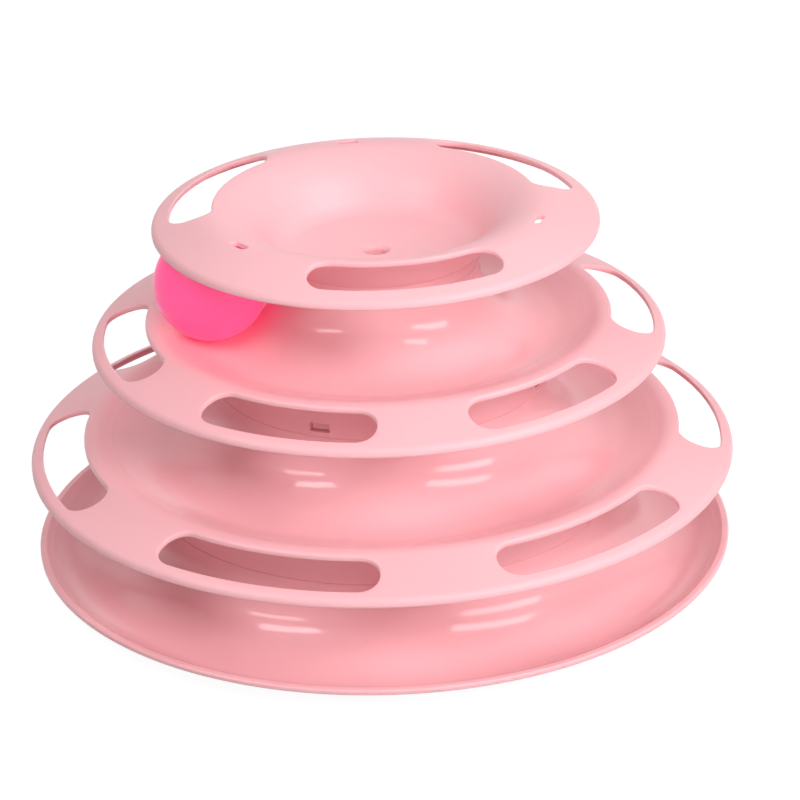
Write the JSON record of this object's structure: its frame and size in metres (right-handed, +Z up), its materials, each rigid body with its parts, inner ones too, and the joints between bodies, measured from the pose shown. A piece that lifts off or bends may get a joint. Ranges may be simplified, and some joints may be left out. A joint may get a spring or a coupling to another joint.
{
  "type": "cat ball track toy",
  "caption": "Round tower of stacked ball tracks for a cat: slotted brims snap together over a tray, and a loose ball runs round each track under its brim.",
  "frame": {"origin": "centre of the tower on the floor it stands on, at the underside of the foot pads", "axes": "+Z up along the tower's axis; the middle of one slot of the top dish faces -Y"},
  "size_m": [0.25, 0.25, 0.135],
  "materials": {
    "tower_plastic": "smooth moulded, satin brims and glossy tracks",
    "ball_plastic": "smooth hollow ball",
    "pad_rubber": "soft matt pad"
  },
  "bodies": {
    "tower": {"base_tray": "tower_plastic", "lower_tier": "tower_plastic", "middle_tier": "tower_plastic", "top_dish": "tower_plastic", "foot_pad_1": "pad_rubber", "foot_pad_2": "pad_rubber", "foot_pad_3": "pad_rubber", "foot_pad_4": "pad_rubber"},
    "lower_ball": {"lower_ball": "ball_plastic"},
    "middle_ball": {"middle_ball": "ball_plastic"},
    "upper_ball": {"upper_ball": "ball_plastic"}
  },
  "joints": [
    {"name": "lower_ball_run", "type": "hinge", "parent": "tower", "child": "lower_ball", "pos_m": [0, 0, 0], "axis": [0, 0, 1], "continuous": true},
    {"name": "middle_ball_run", "type": "hinge", "parent": "tower", "child": "middle_ball", "pos_m": [0, 0, 0], "axis": [0, 0, 1], "continuous": true},
    {"name": "upper_ball_run", "type": "hinge", "parent": "tower", "child": "upper_ball", "pos_m": [0, 0, 0], "axis": [0, 0, 1], "continuous": true}
  ]
}
